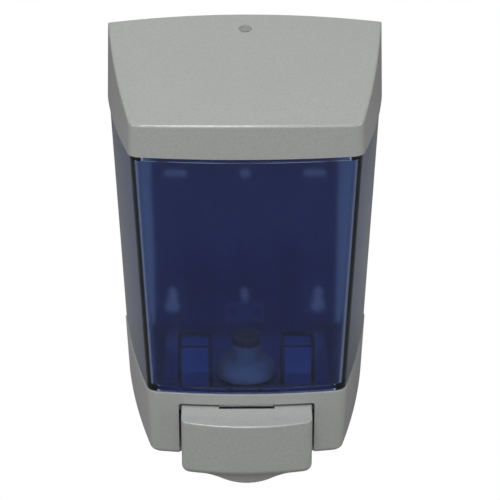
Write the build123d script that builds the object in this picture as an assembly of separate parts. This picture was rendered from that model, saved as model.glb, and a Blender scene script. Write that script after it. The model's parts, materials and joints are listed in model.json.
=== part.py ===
"""Wall mounted bulk soap dispenser: wall plate, see-through reservoir, hinged lid, push lever and pump.

Frame: the origin lies on the wall plane, +Y points into the wall, the front faces -Y, +Z is up.
All sizes are in millimetres.
"""
from build123d import *
import math
import os

# Overall body, read at the seam under the lid
BODY_WIDTH = 145.4  # across the two sides, where they meet the wall
BODY_DEPTH = 97.3  # from the wall to the middle of the bowed front
FRONT_WIDTH = BODY_WIDTH * 0.775  # across the front corners before they are rounded
SIDE_BOW = 1.9  # how far each side bulges from a straight line
FRONT_BOW = 4.4  # how far the front bulges between its corners
CORNER_R = 7.0  # upright front corners
BODY_DRAFT = 2.5  # degrees, each side leans in towards the base

# Levels
LOWER_SEAM_Z = -58.5  # datum of the parts inside the lower housing, measured from the origin
RIM_DROP = 1.6  # from that datum down to the housing's rim
WINDOW_HEIGHT = 127.3  # from that datum up to the lid's rim
HOUSING_HEIGHT = 37.4
UPPER_SEAM_Z = LOWER_SEAM_Z + WINDOW_HEIGHT
BASE_Z = LOWER_SEAM_Z - HOUSING_HEIGHT
RIM_Z = LOWER_SEAM_Z - RIM_DROP

# Walls and clearances
SHELL = 2.5  # wall of the lid, the housing and the lever
TANK_WALL = 2.6
SEAM_GAP = 0.4  # between the reservoir's shoulders and the parts above and below
SLIP = 0.6  # between a neck of the reservoir and the shell around it
NECK_INSET = SHELL + SLIP  # both necks, from the body's outline
RUNNING = 0.05  # radial, between a shaft and its bearing
AIR = 0.3  # between faces that must never touch

# Wall plate
PLATE_THICK = 3.0
PLATE_INSET = 1.2  # from the body's outline
PLATE_BOTTOM_Z = BASE_Z + 2.4
PLATE_CORNER_R = 8.0
PLATE_GAP = 0.4  # between the plate and the shells in front of it
SLOT_SPAN = 76.0
SLOT_Z = UPPER_SEAM_Z - 43.8
SLOT_LENGTH = 13.0
SLOT_R = 2.2
TOP_HOLE_R = 3.0
KEYHOLE_SPAN = 82.0
KEYHOLE_Z = LOWER_SEAM_Z + 4.2
KEYHOLE_R = 4.2
KEYHOLE_SLOT_R = 2.3
KEYHOLE_RISE = 9.5
PLATE_WAIST = KEYHOLE_SPAN + 20.0  # width of the plate behind the reservoir
CENTRE_SLOT_TOP_Z = LOWER_SEAM_Z + 15.5
CENTRE_SLOT_R = 2.0
HOOK_SPAN = 84.0
HOOK_WIDTH = 14.0
HOOK_HEIGHT = 9.0
HOOK_THICK = 1.3
HOOK_Z = UPPER_SEAM_Z - 22.0

# Retaining clip behind the reservoir
CLIP_WIDTH = 20.4
CLIP_HEIGHT = 11.0
CLIP_THICK = 1.2
CLIP_Z = LOWER_SEAM_Z + 1.4
RIVET_R = 1.2
RIVET_HEAD_R = 1.9
RIVET_HEAD = 0.7
RIVET_SPAN = 14.0

# Reservoir
TANK_INSET = 0.5  # the reservoir stands this far inside the housing's surface
TANK_BACK_Y = -6.5
TANK_FLOOR = 2.8
NECK_HEIGHT = 7.5  # above and below the two seams
NECK_WALL = 2.2
INNER_CORNER_R = 3.0

# Lid
LID_PROUD = 0.3
LID_BACK_Y = -5.0
LID_DRAFT = 2.0
LID_FRONT_HEIGHT = 17.3  # front face of the lid
LID_SLOPE = 17.2  # degrees, the top falls towards the front
CROWN_R = 640.0
LID_EDGE_R = 1.7
LID_RIB = 1.8
RIB_SPAN = 62.0
RIB_DEPTH = 2.4

# Lid hinge
HINGE_Y = -13.0
HINGE_DROP = 8.1  # from the lid's top down to the hinge
LID_RISE = (BODY_DEPTH + LID_PROUD + HINGE_Y) * math.tan(math.radians(LID_SLOPE))
HINGE_Z = UPPER_SEAM_Z + LID_FRONT_HEIGHT + LID_RISE - HINGE_DROP
PLATE_TOP_Z = HINGE_Z - 9.5
HINGE_SPAN = 90.0
HINGE_PIN_R = 1.5
KNUCKLE_R = 3.2
KNUCKLE_WIDTH = 4.0
EAR_WIDTH = 5.0
EAR_DEPTH = 8.0
KNUCKLE_GAP = 0.4

# Lid lock
LOCK_Y = -19.0
LOCK_R = 3.4
LOCK_STEM_R = 2.2
LOCK_BOSS_R = 5.6
LOCK_HEAD = 3.5
CAM_WIDTH = 4.4
CAM_REACH = 9.5
CAM_THICK = 1.8
KEEPER_THICK = 2.0
KEEPER_WIDTH = 9.0
KEEPER_GAP = 0.8
CAM_SCREW_R = 1.1
CAM_SCREW_HEAD = 1.4
KEY_SLOT_R = LOCK_R * 0.66
KEY_SLOT_SHIFT = LOCK_R * 0.36  # between the two circles that leave a crescent

# Pump
PUMP_Y = 31.3 - BODY_DEPTH
BARREL_BORE = 6.0
BARREL_R = BARREL_BORE + 1.6
BARREL_TOP_Z = LOWER_SEAM_Z + 13.3
BARREL_ROOF = 1.8
DOME_R = BARREL_R + 8.4
DOME_HEIGHT = 8.0
DOME_SHOULDER = DOME_HEIGHT * 0.7  # height of the dome's roundest point
DOME_WALL = 2.0
GASKET_THICK = 1.3
BARREL_BOTTOM_Z = LOWER_SEAM_Z - 19.5
BUSH_HEIGHT = 4.0
NUT_ACROSS = 2 * BARREL_R + 8.8
NUT_HEIGHT = 5.0
NUT_EDGE = 0.6
STEM_R = 3.2
STEM_BORE = 1.5
PISTON_HEIGHT = 5.5
SPRING_ROOM = 11.5
SEAL_R = 0.9
COLLAR_R = STEM_R + 2.8
COLLAR_THICK = 2.0
SPOUT_Z = BASE_Z - 4.0
SPRING_R = BARREL_BORE - 1.1
SPRING_WIRE = 0.45
SPRING_TURNS = 4
INLET_HOLES = 4
INLET_R = 0.9
INLET_PITCH_R = 2.4
UMBRELLA_R = BARREL_BORE - 2.2
UMBRELLA_THICK = 0.8
UMBRELLA_STEM_R = 0.8
UMBRELLA_BULB_R = 1.3
STRAINER_HEIGHT = 5.0
STRAINER_WALL = 1.2
STRAINER_SLOTS = 8
STRAINER_SLOT = 1.4
DUCKBILL_R = STEM_R + 1.4
DUCKBILL_LENGTH = 9.0

# Chassis under the reservoir
CHASSIS_THICK = 3.0
CHASSIS_TOP_Z = LOWER_SEAM_Z - 14.5
CHASSIS_HALF = FRONT_WIDTH / 2 - 11.3
CHASSIS_FRONT_Y = 13.3 - BODY_DEPTH
POST_WIDTH = 13.2
POST_DEPTH = 10.4
POST_TOP_Z = LOWER_SEAM_Z + 16.9
POCKET_AIR = 0.6
POCKET_WALL = 1.8
DOME_GAP = 1.5  # between the pump's dome and the pockets around the posts
POST_X = DOME_R + DOME_GAP + POCKET_WALL + POCKET_AIR + POST_WIDTH / 2
POST_Y = 23.3 - BODY_DEPTH
FLANGE_HEIGHT = 14.0
CHASSIS_SCREW_X = CHASSIS_HALF - 13.0
SCREW_R = 1.6
SCREW_HEAD_R = 3.0
SCREW_HEAD = 2.0
SCREW_BITE = 7.0

# Push lever
LEVER_WIDTH = FRONT_WIDTH * 0.594
LEVER_PROUD = 15.7  # how far the lever stands in front of the body
LEVER_DEPTH = BODY_DEPTH + LEVER_PROUD
LEVER_BOW = 4.4
LEVER_CORNER_R = 5.0
LEVER_TOP_Z = LOWER_SEAM_Z - 8.9
LEVER_TOP_Y = 0.3 - BODY_DEPTH  # the top is level behind this and slopes in front of it
LEVER_ROOF_Y = 4.3 - BODY_DEPTH  # back edge of the lever's top
LEVER_SLOPE = 9.6  # degrees
LEVER_BOTTOM_Z = BASE_Z - 3.6
LEVER_FOOT_R = 3.6
LEVER_EDGE_R = 1.0
LEVER_BACK_Y = 11.3 - BODY_DEPTH
LEVER_GAP = 1.5  # between the lever's sides and the cut-out in the housing's front
FLOOR_GAP = 0.5  # between the lever's sides and the housing's floor
PIVOT_Y = 9.3 - BODY_DEPTH
PIVOT_Z = LEVER_TOP_Z - 4.1
PIVOT_PIN_R = 1.5
PIVOT_BOSS_R = PIVOT_PIN_R + 1.9
PIVOT_EAR_X = LEVER_WIDTH / 2 - 9.4
PIVOT_EAR_WIDTH = 3.0
LEVER_NOTCH = 2 * PIVOT_EAR_X - 19.5
LEVER_NOTCH_DEPTH = 1.2
CUTOUT_TOP_Z = LEVER_TOP_Z + 1.4
CUTOUT_R = 1.5
CUTOUT_BACK_Y = PUMP_Y + 18.0
YOKE_THICK = 2.5
YOKE_HALF = 14.0
YOKE_SLOT = STEM_R + 0.5
YOKE_REACH = 4.0  # tines behind the stem's centre
YOKE_SWING = 4.9  # extra slot in front of the stem, for the swing of the lever
YOKE_TOP_Z = BASE_Z + 6.4
YOKE_SCREW_X = 9.0
YOKE_SCREW_Z = YOKE_TOP_Z + 5.0
YOKE_FLANGE_Z = YOKE_SCREW_Z + 4.5
YOKE_BOSS_R = 3.2
SHROUD_HALF = LEVER_WIDTH / 2 - 8.0
SHROUD_Y = 6.0 - LEVER_DEPTH
SHROUD_THICK = 2.0
SHROUD_TOP_Z = LEVER_TOP_Z - 6.5
SHROUD_EDGE_Z = BASE_Z - 5.3
SHROUD_TIP_Z = BASE_Z - 10.5
SHROUD_BOW = 2.3

# Housing details
LEDGE = 3.4
LEDGE_THICK = 2.4
HOUSING_SCREW_Y = -20.0
HOUSING_BOSS_R = 4.6
LUG_HEIGHT = 6.0
LUG_HALF = 6.0
LUG_GAP = 1.0  # between a lug and the chassis flange
HOUSING_SCREW_X = CHASSIS_HALF + LUG_GAP + LUG_HALF
HOUSING_FOOT_R = 2.6

FAR = 400.0  # larger than the whole object


def block(x0, x1, y0, y1, z0, z1):
    """A box between two corners."""
    size = (x1 - x0, y1 - y0, z1 - z0)
    middle = ((x0 + x1) / 2, (y0 + y1) / 2, (z0 + z1) / 2)
    return Pos(*middle) * Box(*size)


def rod(x, y, z0, z1, radius):
    """An upright cylinder between two levels."""
    return Pos(x, y, (z0 + z1) / 2) * Cylinder(radius, z1 - z0)


def rod_x(x0, x1, y, z, radius):
    """A cylinder along X."""
    return Pos((x0 + x1) / 2, y, z) * Rot(0, 90, 0) * Cylinder(radius, x1 - x0)


def rod_y(x, y0, y1, z, radius):
    """A cylinder along Y."""
    return Pos(x, (y0 + y1) / 2, z) * Rot(90, 0, 0) * Cylinder(radius, y1 - y0)


def mirrored(part):
    """The part and its mirror image across the middle plane."""
    return part + mirror(part, Plane.YZ)


def outline(z, inset, draft):
    """Plan of the body at a level: bowed sides that close towards a bowed front."""
    lean = (UPPER_SEAM_Z - z) * math.tan(math.radians(draft))
    wall_x = BODY_WIDTH / 2 - lean - inset
    front_x = FRONT_WIDTH / 2 - lean - inset
    front_y = inset - (BODY_DEPTH - FRONT_BOW)
    corner_r = max(CORNER_R - inset, INNER_CORNER_R)
    edges = [
        SagittaArc((-wall_x, 0), (-front_x, front_y), -SIDE_BOW),
        SagittaArc((-front_x, front_y), (front_x, front_y), -FRONT_BOW),
        SagittaArc((front_x, front_y), (wall_x, 0), -SIDE_BOW),
        Line((wall_x, 0), (-wall_x, 0)),
    ]
    face = make_face(edges)
    front = face.vertices().sort_by(Axis.Y)[:2]
    return Plane.XY.offset(z) * fillet(front, corner_r)


def slab(z0, z1, inset, back, draft=BODY_DRAFT):
    """The body's outline between two levels, cut off square at the back."""
    solid = loft([outline(z0, inset, draft), outline(z1, inset, draft)], ruled=True)
    return solid & block(-FAR, FAR, -FAR, back, -FAR, FAR)


def under_top(drop):
    """Everything under the lid's crowned, sloping top, lowered by a wall's thickness."""
    slope = math.radians(LID_SLOPE)
    half = BODY_WIDTH
    sag = CROWN_R - math.sqrt(CROWN_R**2 - half**2)
    edges = [
        Line((-half, -FAR), (half, -FAR)),
        Line((half, -FAR), (half, -sag)),
        ThreePointArc((half, -sag), (0, 0), (-half, -sag)),
        Line((-half, -sag), (-half, -FAR)),
    ]
    front = (0, -BODY_DEPTH - LID_PROUD, UPPER_SEAM_Z + LID_FRONT_HEIGHT - drop / math.cos(slope))
    along = (0, math.cos(slope), math.sin(slope))
    plane = Plane(origin=front, x_dir=(-1, 0, 0), z_dir=along)
    return extrude(plane * make_face(edges), BODY_DEPTH * 2, both=True)


def top_z(y):
    """Height of the lid's top on the middle line."""
    front_y = -BODY_DEPTH - LID_PROUD
    return UPPER_SEAM_Z + LID_FRONT_HEIGHT + (y - front_y) * math.tan(math.radians(LID_SLOPE))


# ---------------------------------------------------------------- wall plate


def plate_half(z):
    """Half width of the wall plate at a level."""
    lean = (UPPER_SEAM_Z - z) * math.tan(math.radians(BODY_DRAFT))
    return BODY_WIDTH / 2 - max(lean, 0) - PLATE_INSET


def wall_plate():
    """The moulded plate that screws to the wall and carries every other part."""
    step_z = LOWER_SEAM_Z - NECK_HEIGHT
    points = [
        (-plate_half(PLATE_BOTTOM_Z), PLATE_BOTTOM_Z),
        (plate_half(PLATE_BOTTOM_Z), PLATE_BOTTOM_Z),
        (plate_half(step_z), step_z),
        (PLATE_WAIST / 2, step_z),
        (PLATE_WAIST / 2, PLATE_TOP_Z),
    ]
    points += [(-x, z) for x, z in reversed(points[2:])]
    face = make_face(Polyline(*points, close=True))
    ends = face.vertices().sort_by(Axis.Y)
    face = fillet(ends[:2] + ends[-2:], PLATE_CORNER_R)
    plate = extrude(Plane.XZ * face, PLATE_THICK)
    plate -= screw_openings()
    plate += mirrored(hinge_ear())
    plate += mirrored(hang_hook())
    plate += mirrored(housing_lug())
    plate += mirrored(chassis_boss())
    plate += mirrored(lock_keeper())
    for x in (-CHASSIS_SCREW_X, CHASSIS_SCREW_X):
        plate -= rod_y(x, flange_back_y(), -PLATE_THICK + AIR, chassis_screw_z(), SCREW_R)
    return plate


def screw_openings():
    """Two level slots and a round hole above, two keyholes and a short slot below."""
    straight = SLOT_LENGTH / 2 - SLOT_R
    cuts = Part()
    for side in (-1, 1):
        x = side * SLOT_SPAN / 2
        cuts += block(x - straight, x + straight, -FAR, FAR, SLOT_Z - SLOT_R, SLOT_Z + SLOT_R)
        cuts += rod_y(x - straight, -FAR, FAR, SLOT_Z, SLOT_R)
        cuts += rod_y(x + straight, -FAR, FAR, SLOT_Z, SLOT_R)
        x = side * KEYHOLE_SPAN / 2
        top = KEYHOLE_Z + KEYHOLE_RISE
        cuts += rod_y(x, -FAR, FAR, KEYHOLE_Z, KEYHOLE_R)
        cuts += rod_y(x, -FAR, FAR, top, KEYHOLE_SLOT_R)
        cuts += block(x - KEYHOLE_SLOT_R, x + KEYHOLE_SLOT_R, -FAR, FAR, KEYHOLE_Z, top)
    cuts += rod_y(0, -FAR, FAR, SLOT_Z, TOP_HOLE_R)
    top = CENTRE_SLOT_TOP_Z - CENTRE_SLOT_R
    cuts += rod_y(0, -FAR, FAR, top, CENTRE_SLOT_R)
    cuts += block(-CENTRE_SLOT_R, CENTRE_SLOT_R, -FAR, FAR, CLIP_Z + CLIP_HEIGHT / 2, top)
    return cuts


def hinge_ear():
    """A gooseneck ear that holds one hinge pin clear of the lid's back edge."""
    x = HINGE_SPAN / 2
    low = PLATE_TOP_Z - EAR_DEPTH
    points = [
        (-PLATE_THICK / 2, low),
        (HINGE_Y + KNUCKLE_R / 2, low),
        (HINGE_Y - KNUCKLE_R, low + KNUCKLE_R),
        (HINGE_Y - KNUCKLE_R, HINGE_Z),
        (HINGE_Y + KNUCKLE_R, HINGE_Z),
        (HINGE_Y + KNUCKLE_R, PLATE_TOP_Z - KNUCKLE_R),
        (-PLATE_THICK / 2, PLATE_TOP_Z - KNUCKLE_R),
    ]
    neck = extrude(Plane.YZ * make_face(Polyline(*points, close=True)), EAR_WIDTH / 2, both=True)
    ear = Pos(x, 0, 0) * neck
    ear += rod_x(x - EAR_WIDTH / 2, x + EAR_WIDTH / 2, HINGE_Y, HINGE_Z, KNUCKLE_R)
    return ear - rod_x(x - EAR_WIDTH, x + EAR_WIDTH, HINGE_Y, HINGE_Z, HINGE_PIN_R)


def hang_hook():
    """An upturned hook that the reservoir hangs on."""
    x = HOOK_SPAN / 2
    y = TANK_BACK_Y + AIR
    arm = block(x - HOOK_WIDTH / 2, x + HOOK_WIDTH / 2, y, -PLATE_THICK, HOOK_Z, HOOK_Z + HOOK_THICK)
    tip = block(x - HOOK_WIDTH / 2, x + HOOK_WIDTH / 2, y, y + HOOK_THICK, HOOK_Z, HOOK_Z + HOOK_HEIGHT)
    return arm + tip


def housing_lug():
    """A lug near the base that a housing screw bites into."""
    x = HOUSING_SCREW_X
    y = HOUSING_SCREW_Y
    low = lug_low_z()
    lug = block(x - LUG_HALF, x + LUG_HALF, y - LUG_HALF, -PLATE_THICK, low, low + LUG_HEIGHT)
    return lug - rod(x, y, low, low + LUG_HEIGHT, SCREW_R)


def lug_low_z():
    """Underside of the lugs, on top of the housing's screw bosses."""
    return BASE_Z + SHELL + LUG_HEIGHT


def chassis_boss():
    """A boss that the chassis flange is screwed to."""
    x = CHASSIS_SCREW_X
    z = chassis_screw_z()
    return rod_y(x, flange_back_y(), -PLATE_THICK, z, SCREW_HEAD_R + SCREW_R)


def chassis_screw_z():
    """Level of the two screws through the chassis flange."""
    return CHASSIS_TOP_Z - FLANGE_HEIGHT / 2


def flange_back_y():
    """Back face of the chassis flange, against the plate's bosses."""
    return -PLATE_THICK - SCREW_BITE + CHASSIS_THICK


def lock_keeper():
    """A finger that the lock's cam turns under."""
    x0 = CAM_WIDTH / 2 + KEEPER_GAP
    y0 = LOCK_Y - CAM_WIDTH / 2 - KEEPER_GAP
    return block(x0, x0 + KEEPER_WIDTH, y0, -PLATE_THICK, PLATE_TOP_Z - KEEPER_THICK, PLATE_TOP_Z)


def retaining_clip():
    """A spring-steel clip, riveted over the lower middle slot, that steadies the reservoir."""
    z0 = CLIP_Z - CLIP_HEIGHT / 2
    z1 = CLIP_Z + CLIP_HEIGHT / 2
    front = -PLATE_THICK - CLIP_THICK
    clip = block(-CLIP_WIDTH / 2, CLIP_WIDTH / 2, front, -PLATE_THICK, z0, z1)
    tongue_y = TANK_BACK_Y + AIR
    clip += block(-CLIP_WIDTH / 4, CLIP_WIDTH / 4, tongue_y, front, z0, z0 + CLIP_THICK)
    for x in (-RIVET_SPAN / 2, RIVET_SPAN / 2):
        clip -= rod_y(x, front, -PLATE_THICK, CLIP_Z, RIVET_R)
    return clip


def clip_rivets():
    """Two rivets through the clip into the wall plate."""
    rivets = []
    front = -PLATE_THICK - CLIP_THICK
    for x in (-RIVET_SPAN / 2, RIVET_SPAN / 2):
        shank = rod_y(x, front, -PLATE_THICK, CLIP_Z, RIVET_R)
        rivets.append(shank + rod_y(x, front - RIVET_HEAD, front, CLIP_Z, RIVET_HEAD_R))
    return Compound(rivets)


# ---------------------------------------------------------------- reservoir


def reservoir():
    """An open-topped see-through tank with a neck inside the lid and a foot inside the housing."""
    low = LOWER_SEAM_Z - NECK_HEIGHT
    high = UPPER_SEAM_Z + NECK_HEIGHT
    shoulder_low = RIM_Z + SEAM_GAP
    shoulder_high = UPPER_SEAM_Z - SEAM_GAP
    tank = slab(shoulder_low, shoulder_high, TANK_INSET, TANK_BACK_Y)
    tank += slab(low, high, NECK_INSET, TANK_BACK_Y)
    back = TANK_BACK_Y - TANK_WALL
    tank -= slab(shoulder_low + TANK_WALL, shoulder_high - TANK_WALL, TANK_INSET + TANK_WALL, back)
    tank -= slab(low + TANK_FLOOR, high + SEAM_GAP, NECK_INSET + NECK_WALL, back)
    tank += mirrored(post_pocket(POCKET_AIR + POCKET_WALL))
    tank -= mirrored(post_pocket(POCKET_AIR))
    tank -= rod(0, PUMP_Y, low, low + TANK_FLOOR, BARREL_R + RUNNING)
    tank += mirrored(hang_lug())
    return tank


def floor_z():
    """Top of the reservoir's floor."""
    return LOWER_SEAM_Z - NECK_HEIGHT + TANK_FLOOR


def post_pocket(margin):
    """The space around one chassis post, from under the floor to above the post's top."""
    x0 = POST_X - POST_WIDTH / 2 - margin
    x1 = POST_X + POST_WIDTH / 2 + margin
    y0 = POST_Y - POST_DEPTH / 2 - margin
    y1 = POST_Y + POST_DEPTH / 2 + margin
    low = LOWER_SEAM_Z - NECK_HEIGHT
    solid = block(x0, x1, y0, y1, low, POST_TOP_Z + margin)
    return fillet(solid.edges().filter_by(Axis.Z), margin)


def hang_lug():
    """A downturned lug on the reservoir's back that drops over a hook."""
    x = HOOK_SPAN / 2
    half = HOOK_WIDTH / 2 + AIR
    z = HOOK_Z + HOOK_HEIGHT + AIR
    y = -PLATE_THICK - AIR
    top = block(x - half, x + half, TANK_BACK_Y, y, z, z + HOOK_THICK)
    lip_back = TANK_BACK_Y + AIR + HOOK_THICK + AIR
    return top + block(x - half, x + half, lip_back, y, z - HOOK_HEIGHT / 2, z)


# ---------------------------------------------------------------- lid


def lid():
    """The cap: upright sides, a crowned top that slopes to the front, open below and at the back."""
    low = UPPER_SEAM_Z
    high = UPPER_SEAM_Z + BODY_DEPTH
    shell = slab(low, high, -LID_PROUD, LID_BACK_Y, -LID_DRAFT) & under_top(0)
    top = shell.faces().sort_by(Axis.Z)[-1]
    shell = fillet(top.edges(), LID_EDGE_R)
    shell -= slab(low - SEAM_GAP, high, SHELL - LID_PROUD, 0, -LID_DRAFT) & under_top(SHELL)
    shell -= heel_relief()
    shell += mirrored(lid_knuckles())
    shell += mirrored(lid_rib())
    lock_top = lock_face_z()
    boss = rod(0, LOCK_Y, lock_top - LOCK_HEAD - SHELL, lock_top, LOCK_BOSS_R) & under_top(SHELL / 2)
    shell += boss
    shell -= rod(0, LOCK_Y, lock_top - LOCK_HEAD, lock_top + FAR / 2, LOCK_R + RUNNING)
    return shell - rod(0, LOCK_Y, lock_top - FAR / 2, lock_top, LOCK_STEM_R + RUNNING)


def heel_relief():
    """The sliver behind the hinge that would dip below the seam as the lid swings."""
    heel = block(-FAR, FAR, HINGE_Y, 0, UPPER_SEAM_Z - SEAM_GAP, HINGE_Z)
    return heel - rod_x(-FAR, FAR, HINGE_Y, HINGE_Z, HINGE_Z - UPPER_SEAM_Z)


def lock_face_z():
    """Level of the lock plug's face: flush with the lid at the low side of its hole."""
    return top_z(LOCK_Y - LOCK_R)


def lid_knuckles():
    """Two knuckles under the lid's top, one each side of a wall plate ear."""
    knuckles = Part()
    for side in (-1, 1):
        middle = HINGE_SPAN / 2 + side * (EAR_WIDTH / 2 + KNUCKLE_GAP + KNUCKLE_WIDTH / 2)
        x0 = middle - KNUCKLE_WIDTH / 2
        x1 = middle + KNUCKLE_WIDTH / 2
        web = block(x0, x1, HINGE_Y - KNUCKLE_R, HINGE_Y + KNUCKLE_R, HINGE_Z, HINGE_Z + FAR / 4)
        web &= under_top(SHELL / 2)
        knuckle = web + rod_x(x0, x1, HINGE_Y, HINGE_Z, KNUCKLE_R)
        knuckles += knuckle - rod_x(x0 - AIR, x1 + AIR, HINGE_Y, HINGE_Z, HINGE_PIN_R + RUNNING)
    return knuckles


def lid_rib():
    """A stiffening rib under the lid's top."""
    x = RIB_SPAN / 2
    rib = block(x - LID_RIB / 2, x + LID_RIB / 2, -FAR, LOCK_Y - LOCK_BOSS_R, UPPER_SEAM_Z, FAR)
    rib &= under_top(SHELL / 2) - under_top(SHELL + RIB_DEPTH)
    return rib & slab(UPPER_SEAM_Z, UPPER_SEAM_Z + BODY_DEPTH, SHELL / 2, 0, -LID_DRAFT)


def lid_hinge_pins():
    """Two short pins, pressed into the wall plate's ears and running in the lid's knuckles."""
    reach = EAR_WIDTH / 2 + KNUCKLE_GAP + KNUCKLE_WIDTH
    pins = []
    for side in (-1, 1):
        x = side * HINGE_SPAN / 2
        pins.append(rod_x(x - reach, x + reach, HINGE_Y, HINGE_Z, HINGE_PIN_R))
    return Compound(pins)


# ---------------------------------------------------------------- lid lock


def cam_top_z():
    """Top of the cam, just below the keeper."""
    return PLATE_TOP_Z - KEEPER_THICK - AIR


def lock_plug():
    """A plug with a crescent key slot and a stem down to the cam."""
    face_z = lock_face_z()
    head_low = face_z - LOCK_HEAD + RUNNING
    plug = rod(0, LOCK_Y, head_low, face_z, LOCK_R)
    plug += rod(0, LOCK_Y, cam_top_z(), head_low, LOCK_STEM_R)
    slot = rod(0, LOCK_Y, face_z - LOCK_HEAD / 2, face_z, KEY_SLOT_R)
    slot -= rod(0, LOCK_Y + KEY_SLOT_SHIFT, face_z - LOCK_HEAD / 2, face_z, KEY_SLOT_R)
    plug -= slot
    return plug - rod(0, LOCK_Y, cam_top_z(), cam_top_z() + SCREW_BITE, CAM_SCREW_R)


def lock_cam():
    """A flat finger on the stem; at rest it points at the front, clear of the keeper."""
    high = cam_top_z()
    low = high - CAM_THICK
    cam = rod(0, LOCK_Y, low, high, CAM_WIDTH / 2 + KEEPER_GAP / 2)
    cam += block(-CAM_WIDTH / 2, CAM_WIDTH / 2, LOCK_Y - CAM_REACH, LOCK_Y, low, high)
    cam += rod(0, LOCK_Y - CAM_REACH, low, high, CAM_WIDTH / 2)
    return cam - rod(0, LOCK_Y, low, high, CAM_SCREW_R)


def cam_screw():
    """The screw that holds the cam on the stem."""
    low = cam_top_z() - CAM_THICK
    screw = rod(0, LOCK_Y, low, cam_top_z() + SCREW_BITE, CAM_SCREW_R)
    return screw + rod(0, LOCK_Y, low - CAM_SCREW_HEAD, low, CAM_SCREW_R * 2)


# ---------------------------------------------------------------- pump


def pump_gasket():
    """A flat ring between the reservoir's floor and the pump's domed flange."""
    low = floor_z()
    ring = rod(0, PUMP_Y, low, low + GASKET_THICK, DOME_R)
    return ring - rod(0, PUMP_Y, low, low + GASKET_THICK, BARREL_R)


def pump_barrel():
    """The pump's cylinder: a roofed barrel with a domed flange that seats on the floor."""
    seat = floor_z() + GASKET_THICK
    crown = seat + DOME_HEIGHT
    shoulder = (DOME_R + BARREL_R) / 2 + DOME_WALL
    arc = ThreePointArc((DOME_R, seat), (shoulder, seat + DOME_SHOULDER), (BARREL_R, crown))
    profile = [
        arc,
        Line((BARREL_R, crown), (BARREL_R, BARREL_TOP_Z)),
        Line((BARREL_R, BARREL_TOP_Z), (0, BARREL_TOP_Z)),
        Line((0, BARREL_TOP_Z), (0, BARREL_BOTTOM_Z)),
        Line((0, BARREL_BOTTOM_Z), (BARREL_R, BARREL_BOTTOM_Z)),
        Line((BARREL_R, BARREL_BOTTOM_Z), (BARREL_R, seat)),
        Line((BARREL_R, seat), (DOME_R, seat)),
    ]
    barrel = Pos(0, PUMP_Y, 0) * revolve(Plane.XZ * make_face(profile), Axis.Z)
    barrel -= rod(0, PUMP_Y, BARREL_BOTTOM_Z, barrel_roof_z(), BARREL_BORE)
    barrel -= rod(0, PUMP_Y, barrel_roof_z(), BARREL_TOP_Z, UMBRELLA_STEM_R)
    for turn in range(INLET_HOLES):
        hole = Pos(INLET_PITCH_R, 0, (barrel_roof_z() + BARREL_TOP_Z) / 2) * Cylinder(INLET_R, BARREL_ROOF)
        barrel -= Pos(0, PUMP_Y, 0) * Rot(0, 0, turn * 360 / INLET_HOLES) * hole
    return barrel


def barrel_roof_z():
    """Underside of the barrel's roof."""
    return BARREL_TOP_Z - BARREL_ROOF


def pump_nut():
    """The hexagon nut that clamps the barrel to the reservoir's floor."""
    high = LOWER_SEAM_Z - NECK_HEIGHT
    hexagon = RegularPolygon(NUT_ACROSS / 2, 6, major_radius=False)
    nut = extrude(Plane.XY.offset(high - NUT_HEIGHT) * hexagon, NUT_HEIGHT)
    nut = chamfer(nut.edges().group_by(Axis.Z)[0], NUT_EDGE)
    return Pos(0, PUMP_Y, 0) * nut - rod(0, PUMP_Y, high - NUT_HEIGHT, high, BARREL_R)


def stem_bush():
    """The bush in the barrel's mouth that guides the stem."""
    high = BARREL_BOTTOM_Z + BUSH_HEIGHT
    bush = rod(0, PUMP_Y, BARREL_BOTTOM_Z, high, BARREL_BORE)
    return bush - rod(0, PUMP_Y, BARREL_BOTTOM_Z, high, STEM_R + RUNNING)


def inlet_strainer():
    """A slotted cap over the pump's inlet holes."""
    high = BARREL_TOP_Z + STRAINER_HEIGHT
    cap = rod(0, PUMP_Y, BARREL_TOP_Z, high, BARREL_R)
    cap = fillet(cap.edges().group_by(Axis.Z)[-1], STRAINER_WALL)
    cap -= rod(0, PUMP_Y, BARREL_TOP_Z, high - STRAINER_WALL, BARREL_R - STRAINER_WALL)
    slot_top = high - STRAINER_WALL * 2
    slot = block(0, BARREL_R * 2, -STRAINER_SLOT / 2, STRAINER_SLOT / 2, BARREL_TOP_Z, slot_top)
    for turn in range(STRAINER_SLOTS):
        cap -= Pos(0, PUMP_Y, 0) * Rot(0, 0, turn * 360 / STRAINER_SLOTS) * slot
    return cap


def umbrella_valve():
    """The rubber inlet valve: a disc under the roof, on a stem with a bulb above."""
    roof = barrel_roof_z()
    valve = rod(0, PUMP_Y, roof - UMBRELLA_THICK, roof, UMBRELLA_R)
    valve += rod(0, PUMP_Y, roof, BARREL_TOP_Z, UMBRELLA_STEM_R)
    return valve + rod(0, PUMP_Y, BARREL_TOP_Z, BARREL_TOP_Z + UMBRELLA_THICK * 2, UMBRELLA_BULB_R)


def piston_top_z():
    """Top of the piston at rest, below the spring."""
    return barrel_roof_z() - SPRING_ROOM


def collar_low_z():
    """Underside of the stem's collar at rest, just above the yoke."""
    return YOKE_TOP_Z + AIR


def plunger():
    """A piston with a ring groove, on a hollow stem with a collar that the yoke lifts."""
    top = piston_top_z()
    low = top - PISTON_HEIGHT
    body = rod(0, PUMP_Y, low, top, BARREL_BORE - RUNNING)
    groove_low = top - PISTON_HEIGHT / 2 - SEAL_R
    groove = rod(0, PUMP_Y, groove_low, groove_low + SEAL_R * 2, BARREL_BORE)
    body -= groove - rod(0, PUMP_Y, groove_low, groove_low + SEAL_R * 2, BARREL_BORE - SEAL_R * 2)
    body += rod(0, PUMP_Y, SPOUT_Z, low, STEM_R)
    body += rod(0, PUMP_Y, collar_low_z(), collar_low_z() + COLLAR_THICK, COLLAR_R)
    return body - rod(0, PUMP_Y, SPOUT_Z, top, STEM_BORE)


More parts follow.
